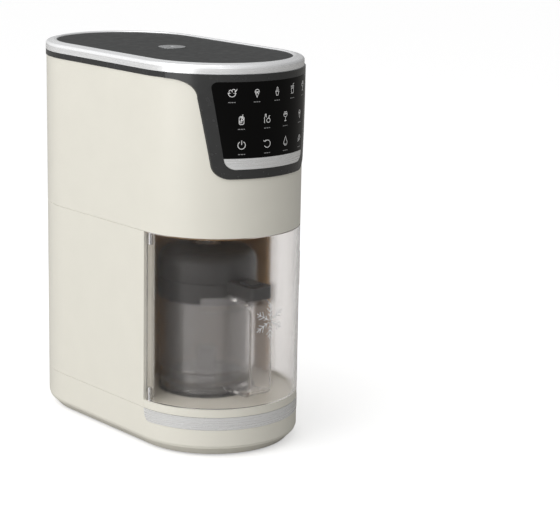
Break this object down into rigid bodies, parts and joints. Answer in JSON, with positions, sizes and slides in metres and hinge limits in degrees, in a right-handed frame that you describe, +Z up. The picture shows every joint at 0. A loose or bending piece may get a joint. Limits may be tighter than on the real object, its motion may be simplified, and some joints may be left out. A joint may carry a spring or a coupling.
{
  "type": "frozen dessert and yogurt maker",
  "caption": "Countertop frozen-dessert and frozen-yogurt machine: clear swing door, handled mixing bowl with locking lid, and a drive head that lowers a spinning paddle.",
  "frame": {"origin": "centre of the footprint, on the surface the feet stand on", "axes": "+Z up, the door and controls face -Y, +X to the right of a person facing the door"},
  "size_m": [0.17, 0.313, 0.38],
  "materials": {
    "rubber": "matte",
    "dark_moulding": "matte",
    "cream_shell": "satin",
    "brushed_silver": "brushed",
    "smoke_liner": "satin",
    "dark_gloss": "gloss",
    "panel_glass": "gloss",
    "circuit_board": "satin",
    "chrome_ring": "satin chrome",
    "dark_matte": "matte",
    "badge_metal": "satin",
    "frame_steel": "brushed",
    "bright_steel": "polished",
    "motor_paint": "satin",
    "pale_moulding": "matte",
    "clear_door": "clear moulded plastic",
    "clear_bowl": "clear moulded plastic",
    "clear_tub": "clear moulded plastic",
    "lid_black": "satin",
    "seal_grey": "matte",
    "cast_alloy": "cast",
    "brass": "machined"
  },
  "bodies": {
    "root": {"feet": "rubber", "base_plate": "dark_moulding", "base_shell": "cream_shell", "base_strip": "brushed_silver", "bay_floor": "cream_shell", "middle_housing": "cream_shell", "bay_liner": "smoke_liner", "drive_deck": "smoke_liner", "upper_housing": "cream_shell", "control_surround": "dark_gloss", "control_glass": "panel_glass", "panel_trim": "brushed_silver", "touch_board": "circuit_board", "chrome_ring": "chrome_ring", "top_plate": "dark_matte", "top_badge": "badge_metal", "rear_vent": "dark_moulding", "cord_gland": "rubber", "power_board": "circuit_board", "fan_frame": "dark_moulding", "drive_frame": "frame_steel", "guide_rods": "bright_steel", "lift_motor": "motor_paint", "screw_bearing": "bright_steel", "hinge_pins": "bright_steel", "reed_switch": "dark_moulding", "housing_screws": "bright_steel", "cam_cup": "pale_moulding", "lock_switch": "dark_moulding"},
    "door": {"door_panel": "clear_door", "door_magnet": "bright_steel"},
    "platform": {"bowl_platform": "dark_moulding", "platform_pins": "bright_steel"},
    "bowl": {"outer_bowl": "clear_bowl", "tub": "clear_tub"},
    "lid": {"locking_lid": "lid_black", "latch_housing": "lid_black", "lid_seal": "seal_grey"},
    "latch": {"lid_button": "dark_moulding"},
    "carriage": {"carriage_plate": "cast_alloy", "gear_cover": "dark_moulding", "motor_can": "motor_paint", "motor_screws": "bright_steel", "spindle_bearings": "bright_steel", "idler_axle": "bright_steel", "lift_nut": "brass"},
    "spindle": {"spindle_shaft": "bright_steel", "spindle_gear": "pale_moulding", "paddle": "pale_moulding"},
    "idler": {"idler_gear": "pale_moulding"},
    "pinion": {"motor_pinion": "brass", "motor_shaft": "bright_steel"},
    "screw": {"lead_screw": "bright_steel"},
    "fan": {"fan_rotor": "dark_moulding"}
  },
  "joints": [
    {"name": "door_swing", "type": "hinge", "parent": "root", "child": "door", "pos_m": [-0.08032, -0.0753, 0.13], "axis": [0, 0, -1], "range_deg": [0, 100]},
    {"name": "bowl_twist", "type": "hinge", "parent": "platform", "child": "bowl", "pos_m": [0, -0.06, 0.05], "axis": [0, 0, -1], "range_deg": [0, 30]},
    {"name": "platform_lift", "type": "slide", "parent": "root", "child": "platform", "axis": [0, 0, 1], "range_m": [-0.006, 0]},
    {"name": "lid_twist", "type": "hinge", "parent": "bowl", "child": "lid", "pos_m": [0, -0.06, 0.15], "axis": [0, 0, 1], "range_deg": [0, 25]},
    {"name": "latch_press", "type": "slide", "parent": "lid", "child": "latch", "axis": [0, 0, -1], "range_m": [0, 0.0018], "stiffness_N_per_m": 600, "springref_m": -0.002},
    {"name": "carriage_drop", "type": "slide", "parent": "root", "child": "carriage", "axis": [0, 0, -1], "range_m": [0, 0.088]},
    {"name": "screw_spin", "type": "hinge", "parent": "root", "child": "screw", "pos_m": [0, 0.075, 0.24], "axis": [0, 0, 1], "range_deg": [0, 7920]},
    {"name": "spindle_spin", "type": "hinge", "parent": "carriage", "child": "spindle", "pos_m": [0, -0.06, 0.31], "axis": [0, 0, 1], "continuous": true},
    {"name": "idler_spin", "type": "hinge", "parent": "carriage", "child": "idler", "pos_m": [0, -0.00375, 0.324], "axis": [0, 0, 1], "continuous": true},
    {"name": "pinion_spin", "type": "hinge", "parent": "carriage", "child": "pinion", "pos_m": [0, 0.02775, 0.324], "axis": [0, 0, 1], "continuous": true},
    {"name": "fan_spin", "type": "hinge", "parent": "root", "child": "fan", "pos_m": [0, 0.125, 0.09], "axis": [0, 1, 0], "continuous": true}
  ],
  "couplings": [
    {"joint": "platform_lift", "follows": "bowl_twist", "m_per_rad": -0.011459},
    {"joint": "screw_spin", "follows": "carriage_drop", "rad_per_m": 1570.8},
    {"joint": "idler_spin", "follows": "spindle_spin", "ratio": -1.7778},
    {"joint": "pinion_spin", "follows": "spindle_spin", "ratio": 3.2}
  ]
}
